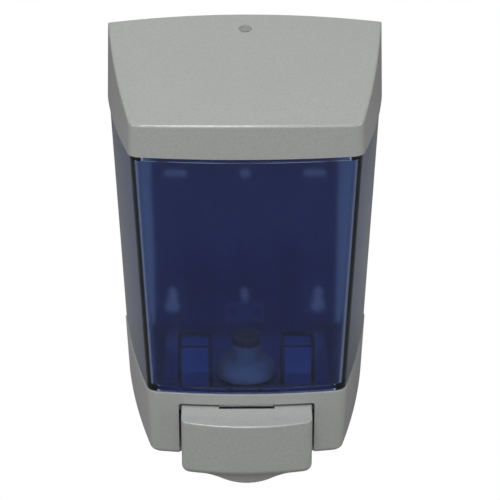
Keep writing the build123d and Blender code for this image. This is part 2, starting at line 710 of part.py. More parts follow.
def piston_seal():
    """The rubber ring in the piston's groove."""
    z = piston_top_z() - PISTON_HEIGHT / 2
    return Pos(0, PUMP_Y, z) * Torus(BARREL_BORE - SEAL_R - RUNNING, SEAL_R - RUNNING)


def plunger_spring():
    """The coil that pushes the plunger down."""
    low = piston_top_z() + SPRING_WIRE + RUNNING
    height = SPRING_ROOM - 2 * (SPRING_WIRE + RUNNING)
    path = Helix(height / SPRING_TURNS, height, SPRING_R)
    start = Plane(path @ 0, z_dir=path % 0)
    return Pos(0, PUMP_Y, low) * sweep(start * Circle(SPRING_WIRE), path, is_frenet=True)


def duckbill_valve():
    """The rubber outlet valve pushed on the end of the stem."""
    high = SPOUT_Z + DUCKBILL_LENGTH / 2
    low = high - DUCKBILL_LENGTH
    sleeve = rod(0, PUMP_Y, SPOUT_Z, high, DUCKBILL_R) - rod(0, PUMP_Y, SPOUT_Z, high, STEM_R)
    round_end = Plane.XY.offset(SPOUT_Z) * Circle(DUCKBILL_R)
    flat_end = Plane.XY.offset(low) * Ellipse(DUCKBILL_R, DUCKBILL_R / 4)
    bill = Pos(0, PUMP_Y, 0) * loft([round_end, flat_end], ruled=True)
    slit = block(-DUCKBILL_R / 2, DUCKBILL_R / 2, PUMP_Y - AIR, PUMP_Y + AIR, low, SPOUT_Z)
    return sleeve + bill - slit


# ---------------------------------------------------------------- chassis


def chassis():
    """The frame under the reservoir: two posts, a flange to the wall plate and ears for the lever's pin."""
    low = CHASSIS_TOP_Z - CHASSIS_THICK
    back = flange_back_y()
    frame = block(-CHASSIS_HALF, CHASSIS_HALF, CHASSIS_FRONT_Y, back, low, CHASSIS_TOP_Z)
    frame -= rod(0, PUMP_Y, low, CHASSIS_TOP_Z, BARREL_R + AIR)
    flange_low = CHASSIS_TOP_Z - FLANGE_HEIGHT
    frame += block(-CHASSIS_HALF, CHASSIS_HALF, back - CHASSIS_THICK, back, flange_low, low)
    post = block(
        POST_X - POST_WIDTH / 2, POST_X + POST_WIDTH / 2,
        POST_Y - POST_DEPTH / 2, POST_Y + POST_DEPTH / 2,
        CHASSIS_TOP_Z, POST_TOP_Z,
    )
    frame += mirrored(fillet(post.edges().group_by(Axis.Z)[-1], POCKET_AIR))
    frame += mirrored(pivot_ear())
    frame += mirrored(chassis_rib())
    for x in (-CHASSIS_SCREW_X, CHASSIS_SCREW_X):
        frame -= rod_y(x, back - CHASSIS_THICK, back, chassis_screw_z(), SCREW_R)
    return frame


def pivot_ear():
    """An ear for the lever's pin, forward of the chassis plate."""
    x1 = PIVOT_EAR_X + PIVOT_EAR_WIDTH
    low = CHASSIS_TOP_Z - CHASSIS_THICK
    high = CUTOUT_TOP_Z - AIR
    ear = block(PIVOT_EAR_X, x1, PIVOT_Y, CHASSIS_FRONT_Y + PIVOT_BOSS_R, low, CHASSIS_TOP_Z)
    ear += rod_x(PIVOT_EAR_X, x1, PIVOT_Y, PIVOT_Z, PIVOT_BOSS_R)
    ear &= block(0, FAR, -FAR, 0, -FAR, high)
    return ear - rod_x(PIVOT_EAR_X, x1, PIVOT_Y, PIVOT_Z, PIVOT_PIN_R)


def chassis_rib():
    """A gusset between the chassis plate and its flange."""
    back = flange_back_y() - CHASSIS_THICK
    low = CHASSIS_TOP_Z - CHASSIS_THICK
    points = [(back, low), (back - FLANGE_HEIGHT, low), (back, low - FLANGE_HEIGHT + CHASSIS_THICK)]
    gusset = extrude(Plane.YZ * make_face(Polyline(*points, close=True)), CHASSIS_THICK / 2, both=True)
    return Pos(CHASSIS_SCREW_X / 2, 0, 0) * gusset


def chassis_screws():
    """Two screws through the chassis flange into the wall plate's bosses."""
    front = flange_back_y() - CHASSIS_THICK
    screws = []
    for x in (-CHASSIS_SCREW_X, CHASSIS_SCREW_X):
        shank = rod_y(x, front, -PLATE_THICK + AIR, chassis_screw_z(), SCREW_R)
        head = screw_head(rod_y(x, front - SCREW_HEAD, front, chassis_screw_z(), SCREW_HEAD_R))
        screws.append(shank + head)
    return Compound(screws)


def screw_head(head):
    """A pan head with a softened rim."""
    rim = head.edges().filter_by(GeomType.CIRCLE)
    return fillet(rim, AIR)


# ---------------------------------------------------------------- lower housing


def lower_housing():
    """The cup under the reservoir, cut out for the lever and the spout."""
    cup = slab(BASE_Z, RIM_Z, 0, -PLATE_THICK - PLATE_GAP)
    foot = cup.faces().sort_by(Axis.Z)[0].edges().sort_by(Axis.Y)[:-1]
    cup = fillet(foot, HOUSING_FOOT_R)
    cavity = slab(BASE_Z + SHELL, RIM_Z + SEAM_GAP, SHELL, 0)
    ledge_top = LOWER_SEAM_Z - NECK_HEIGHT - AIR
    ledge = slab(ledge_top - LEDGE_THICK, ledge_top, SHELL, 0)
    ledge -= slab(ledge_top - LEDGE_THICK * 2, ledge_top + LEDGE_THICK, SHELL + LEDGE, 0)
    ledge &= block(-FAR, FAR, -FAR, flange_back_y() - LEDGE, -FAR, FAR)
    cup -= cavity - ledge
    cup -= lever_opening()
    boss_top = lug_low_z()
    for x in (-HOUSING_SCREW_X, HOUSING_SCREW_X):
        cup += rod(x, HOUSING_SCREW_Y, BASE_Z + SHELL, boss_top, HOUSING_BOSS_R)
        cup -= rod(x, HOUSING_SCREW_Y, BASE_Z, boss_top, SCREW_R)
        cup -= rod(x, HOUSING_SCREW_Y, BASE_Z, BASE_Z + SCREW_HEAD + AIR, SCREW_HEAD_R + AIR)
    return cup


def lever_opening():
    """The cut-out in the housing's front, and a tighter one in its floor, for the lever and the spout."""
    half = LEVER_WIDTH / 2 + LEVER_GAP
    behind_front = SHELL + FRONT_BOW / 2 + AIR - BODY_DEPTH
    opening = block(-half, half, -FAR, behind_front, BASE_Z - FAR, CUTOUT_TOP_Z)
    opening += block(-half, half, -FAR, CUTOUT_BACK_Y, BASE_Z + SHELL, CUTOUT_TOP_Z)
    opening = fillet(opening.edges().filter_by(Axis.Y).group_by(Axis.Z)[-1], CUTOUT_R)
    half = LEVER_WIDTH / 2 + FLOOR_GAP
    return opening + block(-half, half, -FAR, CUTOUT_BACK_Y, BASE_Z - FAR, BASE_Z + SHELL)


def housing_screws():
    """Two screws from below, through the housing into the wall plate's lugs."""
    seat = BASE_Z + SCREW_HEAD + AIR
    screws = []
    for x in (-HOUSING_SCREW_X, HOUSING_SCREW_X):
        head = screw_head(rod(x, HOUSING_SCREW_Y, seat - SCREW_HEAD, seat, SCREW_HEAD_R))
        screws.append(head + rod(x, HOUSING_SCREW_Y, seat, lug_low_z() + LUG_HEIGHT - AIR, SCREW_R))
    return Compound(screws)


# ---------------------------------------------------------------- push lever


def lever_plan(inset):
    """Plan of the lever: straight sides and a bowed front with rounded corners."""
    half = LEVER_WIDTH / 2 - inset
    corner_y = inset - (LEVER_DEPTH - LEVER_BOW)
    back = LEVER_BACK_Y + (FAR if inset else 0)
    edges = [
        Line((half, back), (-half, back)),
        Line((-half, back), (-half, corner_y)),
        SagittaArc((-half, corner_y), (half, corner_y), -LEVER_BOW),
        Line((half, corner_y), (half, back)),
    ]
    face = make_face(edges)
    return fillet(face.vertices().sort_by(Axis.Y)[:2], LEVER_CORNER_R - inset)


def under_lever_top(drop):
    """Everything under the lever's top, which falls a little towards the front."""
    slope = math.radians(LEVER_SLOPE)
    z = LEVER_TOP_Z - drop
    front_z = z - (FAR + LEVER_TOP_Y) * math.tan(slope)
    points = [(-FAR, front_z), (LEVER_TOP_Y, z), (0, z), (0, -FAR), (-FAR, -FAR)]
    return extrude(Plane.YZ * make_face(Polyline(*points, close=True)), FAR, both=True)


def push_lever():
    """The push bar: a shell open at the back and below, hung on a pin near its top."""
    height = LEVER_TOP_Z - LEVER_BOTTOM_Z
    body = extrude(Plane.XY.offset(LEVER_BOTTOM_Z) * lever_plan(0), height) & under_lever_top(0)
    feet = body.edges().filter_by(Axis.Y).group_by(Axis.Z)[0]
    body = fillet(feet, LEVER_FOOT_R)
    body = fillet(body.faces().sort_by(Axis.Y)[0].edges().sort_by(Axis.Z)[-1], LEVER_EDGE_R)
    half = LEVER_WIDTH / 2 - SHELL
    cavity = extrude(Plane.XY.offset(LEVER_BOTTOM_Z - height) * lever_plan(SHELL), height * 3)
    cavity &= under_lever_top(SHELL)
    below = LEVER_BOTTOM_Z + SHELL
    cavity &= block(-half, half, -FAR, FAR, below, FAR) + block(
        -half + LEVER_FOOT_R, half - LEVER_FOOT_R, -FAR, FAR, -FAR, FAR
    )
    body -= cavity
    body -= block(-half, half, LEVER_ROOF_Y, FAR, -FAR, FAR)
    body -= block(-LEVER_NOTCH / 2, LEVER_NOTCH / 2, LEVER_TOP_Y - LEVER_NOTCH_DEPTH, FAR, PIVOT_Z, FAR)
    body += mirrored(pivot_boss())
    body += mirrored(yoke_boss())
    reach = LEVER_WIDTH
    return body - rod_x(-reach, reach, PIVOT_Y, PIVOT_Z, PIVOT_PIN_R + RUNNING)


def pivot_boss():
    """A thick round boss on the inside of each lever side, around the pin."""
    x0 = PIVOT_EAR_X + PIVOT_EAR_WIDTH + KNUCKLE_GAP
    return rod_x(x0, LEVER_WIDTH / 2, PIVOT_Y, PIVOT_Z, PIVOT_BOSS_R)


def yoke_boss():
    """A boss on the inside of the lever's face for a yoke screw."""
    boss = rod_y(YOKE_SCREW_X, -LEVER_DEPTH, SHROUD_Y, YOKE_SCREW_Z, YOKE_BOSS_R)
    boss &= extrude(Plane.XY.offset(LEVER_BOTTOM_Z) * lever_plan(SHELL / 2), FAR)
    return boss - rod_y(YOKE_SCREW_X, yoke_tip_y(), SHROUD_Y, YOKE_SCREW_Z, SCREW_R)


def yoke_tip_y():
    """Front end of the yoke screws, inside the lever's face."""
    return AIR + SHELL - LEVER_DEPTH + SHELL / 2


def lever_pin():
    """The steel pin that the lever swings on."""
    half = LEVER_WIDTH / 2 - AIR
    return rod_x(-half, half, PIVOT_Y, PIVOT_Z, PIVOT_PIN_R)


def spout_shroud():
    """A curved apron behind the lever's face whose lower edge dips like a bell in front of the spout."""
    middle_x = SHROUD_HALF / 2
    middle_z = (SHROUD_EDGE_Z + SHROUD_TIP_Z) / 2
    edges = [
        Line((-SHROUD_HALF, SHROUD_TOP_Z), (-SHROUD_HALF, SHROUD_EDGE_Z)),
        TangentArc((-SHROUD_HALF, SHROUD_EDGE_Z), (-middle_x, middle_z), tangent=(1, 0)),
        TangentArc((0, SHROUD_TIP_Z), (-middle_x, middle_z), tangent=(-1, 0)),
        TangentArc((0, SHROUD_TIP_Z), (middle_x, middle_z), tangent=(1, 0)),
        TangentArc((SHROUD_HALF, SHROUD_EDGE_Z), (middle_x, middle_z), tangent=(-1, 0)),
        Line((SHROUD_HALF, SHROUD_EDGE_Z), (SHROUD_HALF, SHROUD_TOP_Z)),
        Line((SHROUD_HALF, SHROUD_TOP_Z), (-SHROUD_HALF, SHROUD_TOP_Z)),
    ]
    front = extrude(Plane.XZ * make_face(edges), FAR / 2)
    side_y = SHROUD_Y + SHROUD_BOW
    bow = [
        SagittaArc((-SHROUD_HALF, side_y), (SHROUD_HALF, side_y), -SHROUD_BOW),
        Line((SHROUD_HALF, side_y), (SHROUD_HALF, side_y + SHROUD_THICK)),
        SagittaArc(
            (SHROUD_HALF, side_y + SHROUD_THICK), (-SHROUD_HALF, side_y + SHROUD_THICK), SHROUD_BOW
        ),
        Line((-SHROUD_HALF, side_y + SHROUD_THICK), (-SHROUD_HALF, side_y)),
    ]
    shroud = front & extrude(make_face(bow), FAR / 2, both=True)
    for x in (-YOKE_SCREW_X, YOKE_SCREW_X):
        shroud -= rod_y(x, -FAR / 2, 0, YOKE_SCREW_Z, SCREW_R)
    return shroud


def yoke_face_y():
    """Front face of the yoke's flange, behind the shroud."""
    bow_at_edge = SHROUD_BOW * (YOKE_HALF / SHROUD_HALF) ** 2
    return SHROUD_Y + SHROUD_THICK + bow_at_edge + AIR


def lever_yoke():
    """A forked plate on the lever that reaches back around the stem, under its collar."""
    front = yoke_face_y()
    low = YOKE_TOP_Z - YOKE_THICK
    back = PUMP_Y + YOKE_REACH
    yoke = block(-YOKE_HALF, YOKE_HALF, front, back, low, YOKE_TOP_Z)
    yoke += block(-YOKE_HALF, YOKE_HALF, front, front + YOKE_THICK, low, YOKE_FLANGE_Z)
    slot_y = PUMP_Y - YOKE_SWING
    yoke -= block(-YOKE_SLOT, YOKE_SLOT, slot_y, back, low, YOKE_TOP_Z)
    yoke -= rod(0, slot_y, low, YOKE_TOP_Z, YOKE_SLOT)
    for x in (-YOKE_SCREW_X, YOKE_SCREW_X):
        yoke -= rod_y(x, front, front + YOKE_THICK, YOKE_SCREW_Z, SCREW_R)
    return yoke


def yoke_screws():
    """Two screws that hold the yoke and the shroud to the lever."""
    seat = yoke_face_y() + YOKE_THICK
    screws = []
    for x in (-YOKE_SCREW_X, YOKE_SCREW_X):
        shank = rod_y(x, yoke_tip_y(), seat, YOKE_SCREW_Z, SCREW_R)
        screws.append(shank + screw_head(rod_y(x, seat, seat + SCREW_HEAD, YOKE_SCREW_Z, SCREW_HEAD_R)))
    return Compound(screws)


NODES = [
    wall_plate,
    retaining_clip,
    clip_rivets,
    reservoir,
    lid,
    lid_hinge_pins,
    lock_plug,
    lock_cam,
    cam_screw,
    pump_gasket,
    pump_barrel,
    pump_nut,
    stem_bush,
    inlet_strainer,
    umbrella_valve,
    plunger,
    piston_seal,
    plunger_spring,
    duckbill_valve,
    chassis,
    chassis_screws,
    lower_housing,
    housing_screws,
    push_lever,
    lever_pin,
    spout_shroud,
    lever_yoke,
    yoke_screws,
]

os.makedirs("parts", exist_ok=True)
for make in NODES:
    export_step(make(), "parts/" + make.__name__ + ".step")
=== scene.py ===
"""Wall mounted soap dispenser: softened shells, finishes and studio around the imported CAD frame.

Everything is in metres, in the frame of the CAD model: the wall is the plane y = 0, the front faces -Y.
"""

import json
import math

import bmesh
import bpy
from mathutils import Matrix, Vector

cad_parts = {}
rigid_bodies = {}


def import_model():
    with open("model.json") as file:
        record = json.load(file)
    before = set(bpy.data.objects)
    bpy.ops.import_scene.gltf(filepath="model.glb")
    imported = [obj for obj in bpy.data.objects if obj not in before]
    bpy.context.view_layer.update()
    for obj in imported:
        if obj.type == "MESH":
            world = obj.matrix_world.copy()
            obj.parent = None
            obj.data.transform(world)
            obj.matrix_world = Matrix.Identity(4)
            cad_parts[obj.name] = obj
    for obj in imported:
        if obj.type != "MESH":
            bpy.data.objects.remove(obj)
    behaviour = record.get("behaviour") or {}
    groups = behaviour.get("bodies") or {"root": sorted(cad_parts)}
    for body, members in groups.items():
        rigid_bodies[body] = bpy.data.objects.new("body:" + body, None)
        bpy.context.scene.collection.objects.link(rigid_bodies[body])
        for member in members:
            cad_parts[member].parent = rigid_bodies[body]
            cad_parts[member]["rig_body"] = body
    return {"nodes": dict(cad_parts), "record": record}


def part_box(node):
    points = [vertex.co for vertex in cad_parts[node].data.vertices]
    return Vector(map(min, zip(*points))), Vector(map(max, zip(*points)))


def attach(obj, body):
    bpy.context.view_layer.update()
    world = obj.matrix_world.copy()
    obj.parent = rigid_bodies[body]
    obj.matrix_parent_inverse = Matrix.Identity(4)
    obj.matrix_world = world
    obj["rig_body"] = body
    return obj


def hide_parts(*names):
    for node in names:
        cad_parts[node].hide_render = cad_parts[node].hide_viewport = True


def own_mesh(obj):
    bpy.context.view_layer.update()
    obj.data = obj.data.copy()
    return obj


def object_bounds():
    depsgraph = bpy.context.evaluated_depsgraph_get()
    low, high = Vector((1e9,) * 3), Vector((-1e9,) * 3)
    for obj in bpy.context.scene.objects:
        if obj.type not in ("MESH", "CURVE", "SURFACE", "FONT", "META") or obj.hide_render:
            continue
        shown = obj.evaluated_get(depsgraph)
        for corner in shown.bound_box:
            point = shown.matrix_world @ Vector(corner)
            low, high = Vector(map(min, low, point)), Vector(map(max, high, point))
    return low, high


bl_info = {
    "name": "Soap dispenser",
    "version": (1, 0, 0),
    "blender": (4, 5, 0),
    "location": "3D View > Sidebar > Dispenser",
    "description": "Dresses a wall mounted soap dispenser with moulded, clear, steel and rubber finishes",
    "category": "Object",
}

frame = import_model()
CAD_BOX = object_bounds()
BODY_OF = {node: part["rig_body"] for node, part in frame["nodes"].items()}
SLOT_OF = {part["node"]: part["material_slot"] for part in frame["record"]["subparts"]}
TINY = 1e-7  # vertices nearer than this are one
RIM_SHARE = 0.8  # of a screw head's radius, beyond which lies its rim
CROSS_SPAN = 1.2  # of a screw head's radius, from end to end of each arm
SHARP_DEGREES = 30.0  # edges sharper than this are rounded
FLAT_DEGREES = 0.2  # faces that meet at less than this become one
SHADE_DEGREES = 28.0  # smooth shading breaks at edges sharper than this
EDGE_SEGMENTS = 2  # steps across a rounded edge
FACE_WEIGHT = 100  # how much more a large face counts in the shading than a small one
FLOW_SHADE = 0.92  # of the reservoir's colour, in its darker flow marks
CLOUD_SHADE = 0.72  # of the steel's colour, where its plating is dull
PAPER_SHADE = 0.985  # of the floor's bounce, in the tooth of the paper
FLOOR_HALF = 6.0  # from the middle of the floor to its edge
# Where each softbox hangs, what it points at and, for those with a fixed size, its side.
KEY_AT, KEY_AIM = (-0.15, -0.55, 1.15), (0, -0.05, 0)
FRONT_AT, FRONT_AIM, FRONT_SIZE = (0.1, -1.2, 0.7), (0, -0.1, 0.08), 0.9
SIDE_AT, SIDE_AIM, SIDE_SIZE = (1.2, -0.45, 0.4), (0, -0.05, 0.05), 0.8


# ---------------------------------------------------------------- sizes and colours


def length(name, description, default):
    """A length that the user may change."""
    return bpy.props.FloatProperty(
        name=name, description=description, default=default, min=0, unit="LENGTH", precision=5
    )


def amount(name, description, default, high=1.0):
    """A share that the user may change."""
    return bpy.props.FloatProperty(name=name, description=description, default=default, min=0, max=high)


def colour(name, description, default):
    """A colour that the user may change."""
    return bpy.props.FloatVectorProperty(
        name=name, description=description, default=default, subtype="COLOR", size=3, min=0, max=1
    )


def angle(name, description, degrees):
    """An angle that the user may change."""
    return bpy.props.FloatProperty(
        name=name, description=description, default=math.radians(degrees), subtype="ANGLE"
    )


class DispenserSizes(bpy.types.PropertyGroup):
    """Radii and recesses that finish the moulded and turned pieces."""

    shell_edge: length("Shell edge", "Radius on the edges of the grey shells", 0.00045)
    lip: length("Lip", "Radius around the top of the lower housing", 0.0009)
    tank_edge: length("Reservoir edge", "Radius on the edges of the clear reservoir", 0.0006)
    inner_edge: length("Inner edge", "Radius on the edges of the parts inside", 0.00025)
    cross_width: length("Cross width", "Width of each arm of a screw's cross recess", 0.0008)
    cross_depth: length("Cross depth", "Depth of a screw's cross recess", 0.0011)


class DispenserColours(bpy.types.PropertyGroup):
    """Base colours of the finishes, in linear light."""

    shell_grey: colour("Shell grey", "Pearl grey of the lid, housing and lever", (0.36, 0.37, 0.358))
    # Painted glint colour of the bright flakes, which the rounded edges also take as wear and painted
    # highlight.
    shell_glint_and_wear: colour("Flake", "Fine flake in the pearl grey", (0.62, 0.62, 0.60))
    tank_blue: colour("Reservoir blue", "Tint of the clear blue plastic", (0.41, 0.54, 0.90))
    plate_grey: colour("Wall plate", "Grey plastic of the wall plate", (0.27, 0.36, 0.52))
    chassis_grey: colour("Chassis", "Light grey plastic under the reservoir", (0.88, 0.92, 0.94))
    pump_white: colour("Pump", "Natural plastic of the pump", (0.33, 0.36, 0.40))
    strainer_grey: colour("Strainer", "Dark plastic of the inlet strainer", (0.07, 0.075, 0.09))
    lock_grey: colour("Lock", "Plastic of the lock plug", (0.30, 0.31, 0.30))
    steel: colour("Steel", "Zinc plated steel of the screws, pins and spring", (0.58, 0.58, 0.57))
    clip_steel: colour("Clip", "Bright sheet of the retaining clip", (0.96, 0.96, 0.97))
    rubber: colour("Rubber", "Black rubber of the seals and valves", (0.03, 0.03, 0.032))
    # Also the colour of the rounded edges of the plain plastics: wear, and on the darker ones a painted
    # highlight.
    dust: colour("Dust", "Pale dust in rough and rubbed places", (0.52, 0.50, 0.47))


class DispenserStudio(bpy.types.PropertyGroup):
    """The camera and the lights."""

    camera_distance: length("Camera distance", "From the wall plane to the camera", 0.9178)
    camera_height: length("Camera height", "Camera above the origin", 0.3864)
    camera_side: bpy.props.FloatProperty(
        name="Camera side", description="Camera to the right of the middle", default=-0.0069, unit="LENGTH"
    )
    camera_elevation: angle("Camera elevation", "How far the camera looks down", 24.0)
    camera_heading: angle("Camera heading", "How far the camera turns to the right", 0.6)
    lens: bpy.props.FloatProperty(name="Lens", description="Focal length in millimetres", default=131.1)
    floor_drop: length("Floor drop", "Floor below the object", 0.02)
    floor_colour: colour("Floor", "Pale studio floor", (1.0, 1.0, 1.0))
    floor_bounce: colour("Floor bounce", "What the floor throws back at the object", (0.25, 0.25, 0.25))
    world_strength: amount("Fill", "Strength of the even light from all round", 0.31, 10.0)
    key_power: amount("Key", "Power of the softbox overhead, in watts", 7.9, 1000.0)
    key_size: length("Key size", "Side of the softbox overhead", 0.5)
    front_power: amount("Front", "Power of the softbox in front, in watts", 3.6, 1000.0)
    side_power: amount("Sides", "Power of the softbox on each side, in watts", 4.0, 1000.0)


# ---------------------------------------------------------------- shader building blocks


def add_node(tree, kind, **settings):
    """A node of a kind in a tree, with its settings."""
    node = tree.nodes.new(kind)
    for key, value in settings.items():
        setattr(node, key, value)
    return node


def feed(tree, socket, source):
    """Sets a socket to a number or colour, or links it to another socket."""
    if isinstance(source, bpy.types.NodeSocket):
        tree.links.new(source, socket)
    elif socket.type == "RGBA":
        socket.default_value = (*tuple(source)[:3], 1.0)
    else:
        socket.default_value = source


def math_node(tree, operation, first, second=0.0, clamp=False):
    """A Math node's value."""
    node = add_node(tree, "ShaderNodeMath", operation=operation, use_clamp=clamp)
    feed(tree, node.inputs[0], first)
    feed(tree, node.inputs[1], second)
    return node.outputs[0]


def mix_colour(tree, factor, first, second, blend="MIX"):
    """A Mix node's colour."""
    node = add_node(tree, "ShaderNodeMix", data_type="RGBA", blend_type=blend)
    feed(tree, node.inputs["Factor"], factor)
    feed(tree, node.inputs[6], first)
    feed(tree, node.inputs[7], second)
    return node.outputs[2]


def remap(tree, value, low, high, to_low=0.0, to_high=1.0):
    """A value taken from one range to another, and kept inside it."""
    node = add_node(tree, "ShaderNodeMapRange")
    feed(tree, node.inputs["Value"], value)
    feed(tree, node.inputs["From Min"], low)
    feed(tree, node.inputs["From Max"], high)
    feed(tree, node.inputs["To Min"], to_low)
    feed(tree, node.inputs["To Max"], to_high)
    return node.outputs["Result"]


def object_point(tree, stretch=(1, 1, 1)):
    """Place on the piece, in metres, stretched along each axis."""
    point = add_node(tree, "ShaderNodeTexCoord").outputs["Object"]
    node = add_node(tree, "ShaderNodeMapping")
    feed(tree, node.inputs["Vector"], point)
    node.inputs["Scale"].default_value = stretch
    return node.outputs["Vector"]


def noise(tree, point, size, detail=2.0, roughness=0.5):
    """Smooth noise with features of about one size, which is a length or a socket."""
    node = add_node(tree, "ShaderNodeTexNoise")
    feed(tree, node.inputs["Vector"], point)
    feed(tree, node.inputs["Scale"], math_node(tree, "DIVIDE", 1.0, size))
    node.inputs["Detail"].default_value = detail
    node.inputs["Roughness"].default_value = roughness
    return node.outputs["Fac"]


def new_group(name, inputs, outputs):
    """An empty shader group with named sockets: (label, "Float" or "Color", default)."""
    group = bpy.data.node_groups.new(name, "ShaderNodeTree")
    for label, kind, default in inputs:
        socket = group.interface.new_socket(label, in_out="INPUT", socket_type="NodeSocket" + kind)
        socket.default_value = (*default, 1.0) if kind == "Color" else default
    for label, kind in outputs:
        group.interface.new_socket(label, in_out="OUTPUT", socket_type="NodeSocket" + kind)
    return group, add_node(group, "NodeGroupInput").outputs, add_node(group, "NodeGroupOutput").inputs


def group_once(name, build):
    """The shader group of that name, built the first time it is asked for."""
    return bpy.data.node_groups.get(name) or build(name)


def moulded_group(name):
    """Injection-moulded surface: slow colour drift, a fine spark texture and soft scuffs."""
    group, given, result = new_group(
        name,
        [
            ("Colour", "Color", (0.5, 0.5, 0.5)),
            ("Drift", "Float", 0.05),
            ("Drift Size", "Float", 0.03),
            ("Grain Size", "Float", 0.0004),
            ("Roughness", "Float", 0.4),
            ("Scuff", "Float", 0.1),
        ],
        [("Colour", "Color"), ("Roughness", "Float"), ("Height", "Float"), ("Scuff Mask", "Float")],
    )
    point = object_point(group)
    drift = noise(group, point, given["Drift Size"], detail=4.0, roughness=0.6)
    low = math_node(group, "SUBTRACT", 1.0, given["Drift"])
    high = math_node(group, "ADD", 1.0, given["Drift"])
    shade = remap(group, drift, 0.3, 0.7, low, high)
    tinted = mix_colour(group, 1.0, given["Colour"], shade, "MULTIPLY")
    grain = noise(group, point, given["Grain Size"], detail=3.0, roughness=0.65)
    scratch_size = math_node(group, "MULTIPLY", given["Drift Size"], 0.12)
    drawn = object_point(group, stretch=(1.0, 3.5, 0.25))
    scratch = noise(group, drawn, scratch_size, detail=5.0, roughness=0.7)
    mask = remap(group, scratch, 0.60, 0.78)
    mask = math_node(group, "MULTIPLY", mask, remap(group, drift, 0.45, 0.62))
    mask = math_node(group, "MULTIPLY", mask, given["Scuff"])
    rough = remap(group, grain, 0.3, 0.7, -0.035, 0.035)
    rough = math_node(group, "ADD", given["Roughness"], rough)
    rough = math_node(group, "ADD", rough, math_node(group, "MULTIPLY", mask, 0.5))
    rough = math_node(group, "ADD", rough, remap(group, drift, 0.3, 0.7, -0.03, 0.03))
    feed(group, result["Colour"], tinted)
    feed(group, result["Roughness"], rough)
    feed(group, result["Height"], grain)
    feed(group, result["Scuff Mask"], mask)
    return group


def flake_glint_group(name):
    """Tiny pearl flakes with painted glints: most are painted dark, as flakes that lie in shade, and a few
    painted bright, as flakes that catch the light.
    """
    group, given, result = new_group(
        name,
        [
            ("Colour", "Color", (0.4, 0.4, 0.4)),
            ("Flake Colour", "Color", (0.7, 0.7, 0.7)),
            ("Flake Size", "Float", 0.00022),
            ("Amount", "Float", 0.3),
        ],
        [("Colour", "Color"), ("Roughness", "Float"), ("Height", "Float")],
    )
    cells = add_node(group, "ShaderNodeTexVoronoi", feature="F1")
    feed(group, cells.inputs["Vector"], object_point(group))
    feed(group, cells.inputs["Scale"], math_node(group, "DIVIDE", 1.0, given["Flake Size"]))
    pick = add_node(group, "ShaderNodeSeparateColor")
    feed(group, pick.inputs["Color"], cells.outputs["Color"])
    # Painted glints: the brightest cells take the flake colour and a lower roughness.
    bright = remap(group, pick.outputs[0], 0.72, 0.98)
    dark = remap(group, pick.outputs[1], 0.70, 1.0)
    bright = math_node(group, "MULTIPLY", bright, given["Amount"])
    dark = math_node(group, "MULTIPLY", dark, given["Amount"])
    shaded = mix_colour(group, 1.0, given["Colour"], (0.55, 0.56, 0.57), "MULTIPLY")
    body = mix_colour(group, dark, given["Colour"], shaded)
    feed(group, result["Colour"], mix_colour(group, bright, body, given["Flake Colour"]))
    feed(group, result["Roughness"], math_node(group, "MULTIPLY", bright, -0.25))
    feed(group, result["Height"], pick.outputs[2])
    return group


def rub_and_highlight_group(name):
    """Wear and painted highlight on the rounded edges, which carry the value 1 in the attribute "rim": in
    patches they take the rubbed colour, which stands partly for rubbing and partly for the light that a
    rounded edge catches.
    """
    group, given, result = new_group(
        name,
        [
            ("Colour", "Color", (0.5, 0.5, 0.5)),
            ("Rubbed Colour", "Color", (0.6, 0.6, 0.6)),
            ("Amount", "Float", 0.4),
        ],
        [("Colour", "Color"), ("Mask", "Float")],
    )
    rim = add_node(group, "ShaderNodeAttribute", attribute_name="rim").outputs["Fac"]
    patches = noise(group, object_point(group), size=0.006, detail=5.0, roughness=0.7)
    patches = remap(group, patches, 0.42, 0.62)
    mask = math_node(group, "MULTIPLY", rim, patches)
    mask = math_node(group, "MULTIPLY", mask, given["Amount"])
    feed(group, result["Colour"], mix_colour(group, mask, given["Colour"], given["Rubbed Colour"]))
    feed(group, result["Mask"], mask)
    return group


def dust_group(name):
    """Dust that settles on the faces that look up."""
    group, given, result = new_group(
        name,
        [
            ("Colour", "Color", (0.5, 0.5, 0.5)),
            ("Dust Colour", "Color", (0.5, 0.5, 0.5)),
            ("Amount", "Float", 0.1),
        ],
        [("Colour", "Color"), ("Mask", "Float")],
    )
    normal = add_node(group, "ShaderNodeTexCoord").outputs["Normal"]
    up = add_node(group, "ShaderNodeSeparateXYZ")
    feed(group, up.inputs[0], normal)
    flat = remap(group, up.outputs[2], 0.5, 1.0)
    patches = noise(group, object_point(group), size=0.002, detail=5.0, roughness=0.7)
    patches = remap(group, patches, 0.35, 0.75)
    mask = math_node(group, "MULTIPLY", flat, patches)
    mask = math_node(group, "MULTIPLY", mask, given["Amount"])
    feed(group, result["Colour"], mix_colour(group, mask, given["Colour"], given["Dust Colour"]))
    feed(group, result["Mask"], mask)
    return group


GROUPS = {
    "Moulded Surface": moulded_group,
    "Pearl Flake Glints": flake_glint_group,
    "Edge Rub And Highlight": rub_and_highlight_group,
    "Settled Dust": dust_group,
}


def place(tree, name, **values):
    """A copy of one of the shader groups in a material, with its own values; returns its outputs."""
    node = add_node(tree, "ShaderNodeGroup")
    node.node_tree = group_once(name, GROUPS[name])
    for label, value in values.items():
        feed(tree, node.inputs[label.replace("_", " ")], value)
    return node.outputs


def new_material(name):
    """An empty material and its Principled shader."""
    material = bpy.data.materials.new(name)
    material.use_nodes = True
    tree = material.node_tree
    return material, tree, tree.nodes["Principled BSDF"]


def bump(tree, shader, height, strength, distance):
    """Feeds a height to the shader's normal."""
    node = add_node(tree, "ShaderNodeBump")
    feed(tree, node.inputs["Height"], height)
    node.inputs["Strength"].default_value = strength
    node.inputs["Distance"].default_value = distance
    feed(tree, shader.inputs["Normal"], node.outputs["Normal"])


# ---------------------------------------------------------------- finishes


